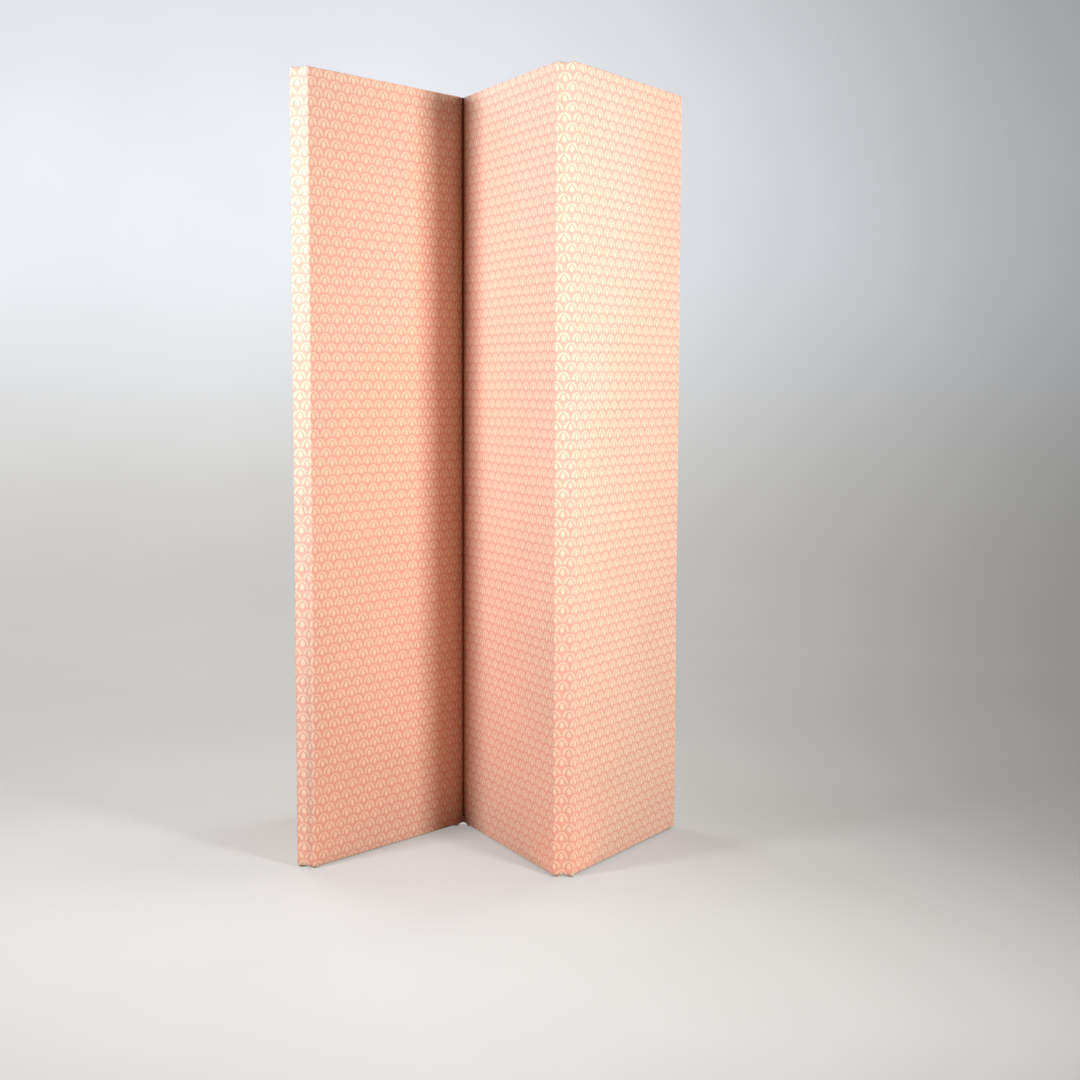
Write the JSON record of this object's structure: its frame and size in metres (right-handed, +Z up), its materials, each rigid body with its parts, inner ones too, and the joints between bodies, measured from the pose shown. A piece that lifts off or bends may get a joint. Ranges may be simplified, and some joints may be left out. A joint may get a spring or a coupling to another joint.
{
  "type": "accordion folding partition",
  "caption": "Free-standing folding screen of tall cloth-covered panels, hinged edge to edge so that it stands in a zigzag or folds flat.",
  "frame": {"origin": "on the floor, at the centre of the bottom of the bounding box as the screen stands", "axes": "+X along the screen to the right, +Y away from the viewer, +Z up"},
  "size_m": [0.7974, 0.528, 1.6],
  "materials": {
    "patterned_cloth": "woven upholstery cloth, small cream scale pattern on a coral ground",
    "timber": "planed softwood, unfinished",
    "board": "hardboard, smooth",
    "steel": "zinc plated",
    "nylon": "moulded nylon",
    "tape": "close-woven brown cotton hinge tape"
  },
  "bodies": {
    "panel_1": {"panel_1_left_stile": "timber", "panel_1_right_stile": "timber", "panel_1_top_rail": "timber", "panel_1_upper_rail": "timber", "panel_1_lower_rail": "timber", "panel_1_bottom_rail": "timber", "panel_1_front_board": "board", "panel_1_back_board": "board", "panel_1_front_cover": "patterned_cloth", "panel_1_back_cover": "patterned_cloth", "panel_1_lap_screws": "steel", "panel_1_staples": "steel", "panel_1_glides": "nylon", "fold_1_left_tape": "tape"},
    "panel_2": {"panel_2_left_stile": "timber", "panel_2_right_stile": "timber", "panel_2_top_rail": "timber", "panel_2_upper_rail": "timber", "panel_2_lower_rail": "timber", "panel_2_bottom_rail": "timber", "panel_2_front_board": "board", "panel_2_back_board": "board", "panel_2_front_cover": "patterned_cloth", "panel_2_back_cover": "patterned_cloth", "panel_2_lap_screws": "steel", "panel_2_staples": "steel", "panel_2_glides": "nylon", "fold_1_right_tape": "tape", "fold_2_left_tape": "tape"},
    "panel_3": {"panel_3_left_stile": "timber", "panel_3_right_stile": "timber", "panel_3_top_rail": "timber", "panel_3_upper_rail": "timber", "panel_3_lower_rail": "timber", "panel_3_bottom_rail": "timber", "panel_3_front_board": "board", "panel_3_back_board": "board", "panel_3_front_cover": "patterned_cloth", "panel_3_back_cover": "patterned_cloth", "panel_3_lap_screws": "steel", "panel_3_staples": "steel", "panel_3_glides": "nylon", "fold_2_right_tape": "tape", "fold_3_left_tape": "tape"},
    "panel_4": {"panel_4_left_stile": "timber", "panel_4_right_stile": "timber", "panel_4_top_rail": "timber", "panel_4_upper_rail": "timber", "panel_4_lower_rail": "timber", "panel_4_bottom_rail": "timber", "panel_4_front_board": "board", "panel_4_back_board": "board", "panel_4_front_cover": "patterned_cloth", "panel_4_back_cover": "patterned_cloth", "panel_4_lap_screws": "steel", "panel_4_staples": "steel", "panel_4_glides": "nylon", "fold_3_right_tape": "tape"}
  },
  "joints": [
    {"name": "fold_1", "type": "hinge", "parent": "panel_2", "child": "panel_1", "pos_m": [-0.37491, -0.19669, 0], "axis": [0, 0, 1], "range_deg": [-39, 141]},
    {"name": "fold_2", "type": "hinge", "parent": "panel_2", "child": "panel_3", "pos_m": [-0.07143, 0.15174, 0], "axis": [0, 0, 1], "range_deg": [-64, 116]},
    {"name": "fold_3", "type": "hinge", "parent": "panel_3", "child": "panel_4", "pos_m": [0.14588, -0.25603, 0], "axis": [0, 0, 1], "range_deg": [-123.5, 56.5]}
  ]
}
